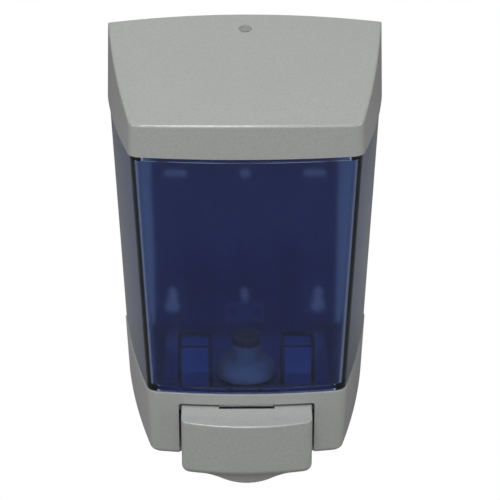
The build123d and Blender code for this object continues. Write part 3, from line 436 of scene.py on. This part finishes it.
def pearl_plastic():
    """Satin pearl grey of the lid, housing, lever and shroud."""
    colours = bpy.context.scene.dispenser_colours
    material, tree, shader = new_material("pearl_grey_plastic")
    base = place(
        tree, "Moulded Surface", Colour=colours.shell_grey, Drift=0.010, Drift_Size=0.035,
        Grain_Size=0.00045, Roughness=0.36, Scuff=0.25,
    )
    # Painted glints and painted shade in the flakes.
    flake = place(
        tree, "Pearl Flake Glints", Colour=base["Colour"], Flake_Colour=colours.shell_glint_and_wear,
        Flake_Size=0.00026, Amount=0.42,
    )
    # The rounded edges take the lighter flake colour: partly wear, partly a painted highlight.
    rub_and_highlight = place(
        tree, "Edge Rub And Highlight", Colour=flake["Colour"], Rubbed_Colour=colours.shell_glint_and_wear, Amount=0.35
    )
    feed(tree, shader.inputs["Base Color"], rub_and_highlight["Colour"])
    rough = math_node(tree, "ADD", base["Roughness"], flake["Roughness"], True)
    feed(tree, shader.inputs["Roughness"], rough)
    shader.inputs["Coat Weight"].default_value = 0.7
    shader.inputs["Coat Roughness"].default_value = 0.12
    shader.inputs["Specular IOR Level"].default_value = 0.5
    bump(tree, shader, base["Height"], strength=0.10, distance=0.00004)
    return material


def blue_tank():
    """Clear blue plastic with faint flow marks."""
    colours = bpy.context.scene.dispenser_colours
    material, tree, shader = new_material("blue_clear_plastic")
    point = object_point(tree, (1.0, 1.0, 0.35))
    flow = noise(tree, point, size=0.022, detail=3.0, roughness=0.5)
    deep = tuple(FLOW_SHADE * part for part in colours.tank_blue)
    feed(tree, shader.inputs["Base Color"], mix_colour(tree, flow, deep, colours.tank_blue))
    haze = noise(tree, object_point(tree), size=0.0012, detail=4.0, roughness=0.6)
    feed(tree, shader.inputs["Roughness"], remap(tree, haze, 0.35, 0.75, 0.10, 0.16))
    shader.inputs["Transmission Weight"].default_value = 1.0
    shader.inputs["IOR"].default_value = 1.49
    bump(tree, shader, flow, strength=0.05, distance=0.0004)
    return material


def plain_plastic(name, base_colour, roughness, grain_size, scuff, dust):
    """A moulded plastic without flake."""
    colours = bpy.context.scene.dispenser_colours
    material, tree, shader = new_material(name)
    base = place(
        tree, "Moulded Surface", Colour=base_colour, Drift=0.07, Drift_Size=0.018,
        Grain_Size=grain_size, Roughness=roughness, Scuff=scuff,
    )
    # The rounded edges take the dust colour: wear, and on the darker plastics also a painted highlight.
    rub_and_highlight = place(tree, "Edge Rub And Highlight", Colour=base["Colour"], Rubbed_Colour=colours.dust, Amount=0.25)
    dusty = place(tree, "Settled Dust", Colour=rub_and_highlight["Colour"], Dust_Colour=colours.dust, Amount=dust)
    feed(tree, shader.inputs["Base Color"], dusty["Colour"])
    dull = math_node(tree, "MULTIPLY", dusty["Mask"], 0.4)
    feed(tree, shader.inputs["Roughness"], math_node(tree, "ADD", base["Roughness"], dull, True))
    bump(tree, shader, base["Height"], strength=0.25, distance=0.00006)
    return material


def plated_steel(name, base_colour, grain, roughness, metallic=1.0):
    """Steel with a fine brushed or drawn grain along one axis and slightly clouded plating."""
    colours = bpy.context.scene.dispenser_colours
    material, tree, shader = new_material(name)
    lines = noise(tree, object_point(tree, grain), size=0.0006, detail=4.0, roughness=0.7)
    cloud = noise(tree, object_point(tree), size=0.003, detail=4.0, roughness=0.6)
    dull = tuple(CLOUD_SHADE * part for part in base_colour)
    tinted = mix_colour(tree, remap(tree, cloud, 0.35, 0.65, 0.0, 0.6), base_colour, dull)
    streaked = mix_colour(tree, remap(tree, lines, 0.3, 0.7, 0.0, 0.35), tinted, dull)
    dusty = place(tree, "Settled Dust", Colour=streaked, Dust_Colour=colours.dust, Amount=0.15)
    feed(tree, shader.inputs["Base Color"], dusty["Colour"])
    shader.inputs["Metallic"].default_value = metallic
    high = roughness + 0.14
    feed(tree, shader.inputs["Roughness"], remap(tree, lines, 0.3, 0.7, roughness, high))
    bump(tree, shader, lines, strength=0.2, distance=0.00003)
    return material


def black_rubber():
    """Moulded rubber with a pale bloom."""
    colours = bpy.context.scene.dispenser_colours
    material, tree, shader = new_material("moulded_rubber")
    base = place(
        tree, "Moulded Surface", Colour=colours.rubber, Drift=0.2, Drift_Size=0.006,
        Grain_Size=0.0003, Roughness=0.62, Scuff=0.3,
    )
    bloom = place(tree, "Settled Dust", Colour=base["Colour"], Dust_Colour=colours.dust, Amount=0.18)
    feed(tree, shader.inputs["Base Color"], bloom["Colour"])
    feed(tree, shader.inputs["Roughness"], base["Roughness"])
    bump(tree, shader, base["Height"], strength=0.4, distance=0.00006)
    return material


def finish(slot_name):
    """The material for one of the record's slots, made the first time that it is asked for."""
    colours = bpy.context.scene.dispenser_colours
    makers = {
        "grey_plastic": pearl_plastic,
        "blue_clear_plastic": blue_tank,
        "plate_plastic": lambda: plain_plastic(
            "wall_plate_plastic", colours.plate_grey,
            roughness=0.46, grain_size=0.0007, scuff=0.35, dust=0.10,
        ),
        "chassis_plastic": lambda: plain_plastic(
            "light_grey_plastic", colours.chassis_grey,
            roughness=0.42, grain_size=0.0006, scuff=0.25, dust=0.12,
        ),
        "pump_plastic": lambda: plain_plastic(
            "natural_plastic", colours.pump_white,
            roughness=0.30, grain_size=0.0009, scuff=0.15, dust=0.06,
        ),
        "strainer_plastic": lambda: plain_plastic(
            "strainer_plastic", colours.strainer_grey,
            roughness=0.40, grain_size=0.0005, scuff=0.2, dust=0.08,
        ),
        "lock_plastic": lambda: plain_plastic(
            "lock_plastic", colours.lock_grey,
            roughness=0.34, grain_size=0.0005, scuff=0.2, dust=0.1,
        ),
        "steel": lambda: plated_steel(
            "zinc_plated_steel", colours.steel, grain=(1, 1, 6), roughness=0.24
        ),
        "clip_steel": lambda: plated_steel(
            "bright_sheet_steel", colours.clip_steel, grain=(0.3, 4, 6), roughness=0.48, metallic=0.08
        ),
        "rubber": black_rubber,
    }
    made = bpy.data.materials.get("slot " + slot_name)
    if made is None:
        made = makers[slot_name]()
        made.name = "slot " + slot_name
    return made


# ---------------------------------------------------------------- mesh building blocks


def softened(node, piece_name, radius, lip=None):
    """A moulded copy of a CAD node: its sharp edges are rounded, and the rounding is marked "rim".

    lip is (test, radius): edges whose middle passes the test get a rounding of their own.
    """
    source = frame["nodes"][node]
    shape = bmesh.new()
    shape.from_mesh(source.data)
    bmesh.ops.remove_doubles(shape, verts=shape.verts, dist=TINY)
    flat = math.radians(FLAT_DEGREES)
    bmesh.ops.dissolve_limit(shape, angle_limit=flat, verts=shape.verts, edges=shape.edges)
    rim = shape.faces.layers.float.new("rim")
    if lip is not None:
        test, lip_radius = lip
        edges = [edge for edge in sharp_edges(shape) if test(middle_of(edge))]
        round_edges(shape, rim, edges, lip_radius)
    round_edges(shape, rim, sharp_edges(shape), radius)
    mesh = bpy.data.meshes.new(piece_name)
    shape.normal_update()
    shape.to_mesh(mesh)
    shape.free()
    return new_piece(node, piece_name, mesh)


def middle_of(edge):
    """Middle of an edge."""
    return (edge.verts[0].co + edge.verts[1].co) / 2


def sharp_edges(shape):
    """The edges that are sharp enough to be rounded."""
    limit = math.radians(SHARP_DEGREES)
    return [edge for edge in shape.edges if edge.is_manifold and edge.calc_face_angle(0.0) > limit]


def round_edges(shape, rim, edges, radius):
    """Rounds edges in place and marks the new faces."""
    made = bmesh.ops.bevel(
        shape, geom=edges, offset=radius, offset_type="OFFSET", segments=EDGE_SEGMENTS, profile=0.5,
        affect="EDGES", clamp_overlap=True, loop_slide=True, miter_outer="SHARP",
    )
    for face in made["faces"]:
        face[rim] = 1.0


def islands(shape):
    """The places of the vertices of each separate solid."""
    left = set(shape.verts)
    found = []
    while left:
        reached = [left.pop()]
        for vertex in reached:
            for edge in vertex.link_edges:
                other = edge.other_vert(vertex)
                if other in left:
                    left.remove(other)
                    reached.append(other)
        found.append([vertex.co.copy() for vertex in reached])
    return found


def off_axis(point, middle, across):
    """Distance of a point from a screw's axis."""
    return math.dist([point[axis] for axis in across], [middle[axis] for axis in across])


def add_cross(tool, points, sizes):
    """Adds the cutter for the cross recess in one screw's head to a mesh."""
    low = Vector(min(point[axis] for point in points) for axis in range(3))
    high = Vector(max(point[axis] for point in points) for axis in range(3))
    middle = (low + high) / 2
    extent = high - low
    along = max(range(3), key=lambda axis: extent[axis])
    across = [axis for axis in range(3) if axis != along]
    radius = extent[across[0]] / 2
    levels = [point[along] for point in points if off_axis(point, middle, across) > RIM_SHARE * radius]
    rim_level = sum(levels) / len(levels)
    middle[along] = high[along] if rim_level > middle[along] else low[along]
    for arm in across:
        size = Vector([sizes.cross_width] * 3)
        size[arm] = CROSS_SPAN * radius
        size[along] = 2 * sizes.cross_depth
        stretched = Matrix.Translation(middle) @ Matrix.Diagonal((*size, 1.0))
        bmesh.ops.create_cube(tool, size=1.0, matrix=stretched)


def recessed(node, piece_name):
    """A copy of a CAD node of screws, with a cross recess cut in each head."""
    shape = bmesh.new()
    shape.from_mesh(frame["nodes"][node].data)
    bmesh.ops.remove_doubles(shape, verts=shape.verts, dist=TINY)
    tool = bmesh.new()
    for points in islands(shape):
        add_cross(tool, points, bpy.context.scene.dispenser_sizes)
    blank = temporary_object(piece_name + "_blank", shape)
    cutter = temporary_object(piece_name + "_cutter", tool)
    cut = blank.modifiers.new("cross", "BOOLEAN")
    cut.operation = "DIFFERENCE"
    cut.object = cutter
    cut.use_self = True
    mesh = bpy.data.meshes.new_from_object(blank.evaluated_get(bpy.context.evaluated_depsgraph_get()))
    for spare in (blank, cutter):
        bpy.data.objects.remove(spare)
    return new_piece(node, piece_name, mesh)


def temporary_object(name, shape):
    """An object in the scene for a mesh under construction, which is freed."""
    mesh = bpy.data.meshes.new(name)
    shape.to_mesh(mesh)
    shape.free()
    made = bpy.data.objects.new(name, mesh)
    bpy.context.scene.collection.objects.link(made)
    return made


def new_piece(node, piece_name, mesh):
    """An object for a mesh that stands for a CAD node, rides its body and takes its slot's finish."""
    piece = bpy.data.objects.new(piece_name, mesh)
    bpy.context.scene.collection.objects.link(piece)
    mesh.materials.clear()
    mesh.materials.append(finish(SLOT_OF[node]))
    shade_by_angle(mesh)
    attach(piece, BODY_OF[node])
    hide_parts(node)
    return piece


def shade_by_angle(mesh):
    """Smooth shading that breaks at the sharper edges."""
    for face in mesh.polygons:
        face.use_smooth = True
    mesh.set_sharp_from_angle(angle=math.radians(SHADE_DEGREES))


def weight_normals(piece):
    """Large faces keep their shading flat next to their rounded edges."""
    modifier = piece.modifiers.new("weighted normals", "WEIGHTED_NORMAL")
    modifier.keep_sharp = True
    modifier.weight = FACE_WEIGHT


def carry_over(*nodes):
    """Gives CAD nodes whose shape is right the finish of their slot."""
    for node in nodes:
        part = frame["nodes"][node]
        for material_slot in part.material_slots:
            material_slot.material = finish(SLOT_OF[node])
        if not part.material_slots:
            raise RuntimeError(node + " has no material slot")


# ---------------------------------------------------------------- operators


class DISPENSER_OT_lid(bpy.types.Operator):
    """Builds the lid with softened edges and its satin finish"""

    bl_idname = "dispenser.lid"
    bl_label = "Lid"

    def execute(self, context):
        sizes = context.scene.dispenser_sizes
        weight_normals(softened("lid", "lid_shell", sizes.shell_edge))
        return {"FINISHED"}


class DISPENSER_OT_housing(bpy.types.Operator):
    """Builds the lower housing with a rounded lip under the reservoir"""

    bl_idname = "dispenser.housing"
    bl_label = "Lower housing"

    def execute(self, context):
        sizes = context.scene.dispenser_sizes
        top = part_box("lower_housing")[1].z
        lip = (lambda point: point.z > top - TINY, sizes.lip)
        weight_normals(softened("lower_housing", "housing_shell", sizes.shell_edge, lip=lip))
        return {"FINISHED"}


class DISPENSER_OT_lever(bpy.types.Operator):
    """Builds the push lever and the shroud that rides behind its face"""

    bl_idname = "dispenser.lever"
    bl_label = "Push lever"

    def execute(self, context):
        sizes = context.scene.dispenser_sizes
        weight_normals(softened("push_lever", "lever_shell", sizes.shell_edge))
        weight_normals(softened("spout_shroud", "spout_apron", sizes.shell_edge))
        return {"FINISHED"}


class DISPENSER_OT_reservoir(bpy.types.Operator):
    """Builds the clear blue reservoir with its rounded corners"""

    bl_idname = "dispenser.reservoir"
    bl_label = "Reservoir"

    def execute(self, context):
        sizes = context.scene.dispenser_sizes
        weight_normals(softened("reservoir", "clear_tank", sizes.tank_edge))
        return {"FINISHED"}


class DISPENSER_OT_wall_plate(bpy.types.Operator):
    """Builds the wall plate, its clip and the chassis with their finishes"""

    bl_idname = "dispenser.wall_plate"
    bl_label = "Wall plate and chassis"

    def execute(self, context):
        edge = context.scene.dispenser_sizes.inner_edge
        softened("wall_plate", "back_plate", edge)
        softened("chassis", "pump_chassis", edge)
        softened("lever_yoke", "yoke_arm", edge)
        carry_over("retaining_clip", "clip_rivets")
        return {"FINISHED"}


class DISPENSER_OT_pump(bpy.types.Operator):
    """Finishes the pump, its valves and its seals"""

    bl_idname = "dispenser.pump"
    bl_label = "Pump"

    def execute(self, context):
        carry_over("pump_barrel", "pump_nut", "stem_bush", "inlet_strainer", "plunger")
        carry_over("pump_gasket", "umbrella_valve", "piston_seal", "duckbill_valve")
        spring = new_piece("plunger_spring", "return_spring", frame["nodes"]["plunger_spring"].data.copy())
        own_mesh(spring)
        return {"FINISHED"}


class DISPENSER_OT_lock(bpy.types.Operator):
    """Finishes the lid's lock"""

    bl_idname = "dispenser.lock"
    bl_label = "Lock"

    def execute(self, context):
        carry_over("lock_plug", "lock_cam")
        return {"FINISHED"}


class DISPENSER_OT_hardware(bpy.types.Operator):
    """Finishes the screws and pins"""

    bl_idname = "dispenser.hardware"
    bl_label = "Screws and pins"

    def execute(self, context):
        carry_over("lid_hinge_pins", "lever_pin")
        recessed("chassis_screws", "chassis_cross_screws")
        recessed("housing_screws", "housing_cross_screws")
        recessed("yoke_screws", "yoke_cross_screws")
        recessed("cam_screw", "cam_cross_screw")
        return {"FINISHED"}


def area_light(name, place_at, aim, size, power):
    """A square softbox."""
    data = bpy.data.lights.new(name, "AREA")
    data.energy = power
    data.size = size
    light = bpy.data.objects.new(name, data)
    light.location = place_at
    light.rotation_euler = (Vector(aim) - Vector(place_at)).to_track_quat("-Z", "Y").to_euler()
    bpy.context.scene.collection.objects.link(light)


def floor_material(tint, bounce):
    """Pale paper that looks clean to the camera and throws little light back at the object."""
    material, tree, shader = new_material("studio_paper")
    tooth = noise(tree, object_point(tree), size=0.004, detail=4.0, roughness=0.6)
    soft = tuple(PAPER_SHADE * part for part in bounce)
    feed(tree, shader.inputs["Base Color"], mix_colour(tree, tooth, soft, bounce))
    shader.inputs["Roughness"].default_value = 0.9
    seen = add_node(tree, "ShaderNodeEmission")
    feed(tree, seen.inputs["Color"], tint)
    mix = add_node(tree, "ShaderNodeMixShader")
    feed(tree, mix.inputs["Fac"], add_node(tree, "ShaderNodeLightPath").outputs["Is Camera Ray"])
    feed(tree, mix.inputs[1], shader.outputs["BSDF"])
    feed(tree, mix.inputs[2], seen.outputs["Emission"])
    feed(tree, tree.nodes["Material Output"].inputs["Surface"], mix.outputs["Shader"])
    return material


def studio_world(tint, strength):
    """Even light from all round, which looks like the floor to the camera, so there is no horizon."""
    world = bpy.data.worlds.new("studio_world")
    world.use_nodes = True
    tree = world.node_tree
    around = tree.nodes["Background"]
    seen = add_node(tree, "ShaderNodeLightPath").outputs["Is Camera Ray"]
    feed(tree, around.inputs["Color"], mix_colour(tree, seen, (1.0, 1.0, 1.0), tint))
    feed(tree, around.inputs["Strength"], remap(tree, seen, 0.0, 1.0, strength, 1.0))
    return world


class DISPENSER_OT_studio(bpy.types.Operator):
    """Sets the floor, the lights and the camera"""

    bl_idname = "dispenser.studio"
    bl_label = "Studio"

    def execute(self, context):
        studio = context.scene.dispenser_studio
        floor_z = CAD_BOX[0].z - studio.floor_drop
        mesh = bpy.data.meshes.new("studio_floor")
        corners = [(x * FLOOR_HALF, y * FLOOR_HALF, floor_z) for x, y in ((-1, -1), (1, -1), (1, 1), (-1, 1))]
        mesh.from_pydata(corners, [], [(0, 1, 2, 3)])
        mesh.materials.append(floor_material(studio.floor_colour, studio.floor_bounce))
        floor = bpy.data.objects.new("studio_floor", mesh)
        context.scene.collection.objects.link(floor)
        area_light("key_softbox", KEY_AT, KEY_AIM, studio.key_size, studio.key_power)
        area_light("front_softbox", FRONT_AT, FRONT_AIM, FRONT_SIZE, studio.front_power)
        for name, side in (("left_softbox", -1), ("right_softbox", 1)):
            place_at = (side * SIDE_AT[0], SIDE_AT[1], SIDE_AT[2])
            area_light(name, place_at, SIDE_AIM, SIDE_SIZE, studio.side_power)
        context.scene.world = studio_world(studio.floor_colour, studio.world_strength)
        context.scene.view_settings.view_transform = "Standard"
        data = bpy.data.cameras.new("camera")
        data.lens = studio.lens
        camera = bpy.data.objects.new("camera", data)
        camera.location = (studio.camera_side, -studio.camera_distance, studio.camera_height)
        camera.rotation_euler = (math.pi / 2 - studio.camera_elevation, 0, -studio.camera_heading)
        context.scene.collection.objects.link(camera)
        context.scene.camera = camera
        return {"FINISHED"}


class DISPENSER_PT_panel(bpy.types.Panel):
    """Lists the dispenser's sizes, colours and steps"""

    bl_idname = "DISPENSER_PT_panel"
    bl_label = "Soap dispenser"
    bl_space_type = "VIEW_3D"
    bl_region_type = "UI"
    bl_category = "Dispenser"

    def draw(self, context):
        scene = context.scene
        for group in (scene.dispenser_sizes, scene.dispenser_colours, scene.dispenser_studio):
            box = self.layout.box()
            for key in group.__annotations__:
                box.prop(group, key)
        for operator in OPERATORS:
            self.layout.operator(operator.bl_idname)


OPERATORS = (
    DISPENSER_OT_wall_plate,
    DISPENSER_OT_pump,
    DISPENSER_OT_reservoir,
    DISPENSER_OT_lid,
    DISPENSER_OT_lock,
    DISPENSER_OT_housing,
    DISPENSER_OT_lever,
    DISPENSER_OT_hardware,
    DISPENSER_OT_studio,
)
GROUPS_OF_PROPERTIES = {
    "dispenser_sizes": DispenserSizes,
    "dispenser_colours": DispenserColours,
    "dispenser_studio": DispenserStudio,
}


def register():
    """Makes the operators, the panel and the properties known to Blender."""
    for name, group in GROUPS_OF_PROPERTIES.items():
        bpy.utils.register_class(group)
        setattr(bpy.types.Scene, name, bpy.props.PointerProperty(type=group))
    for made in (*OPERATORS, DISPENSER_PT_panel):
        bpy.utils.register_class(made)


def unregister():
    """Takes them away again."""
    for made in (DISPENSER_PT_panel, *reversed(OPERATORS)):
        bpy.utils.unregister_class(made)
    for name, group in reversed(GROUPS_OF_PROPERTIES.items()):
        delattr(bpy.types.Scene, name)
        bpy.utils.unregister_class(group)


def main():
    """Builds everything in order."""
    register()
    for operator in OPERATORS:
        category, step = operator.bl_idname.split(".")
        getattr(getattr(bpy.ops, category), step)()


if __name__ == "__main__":
    main()
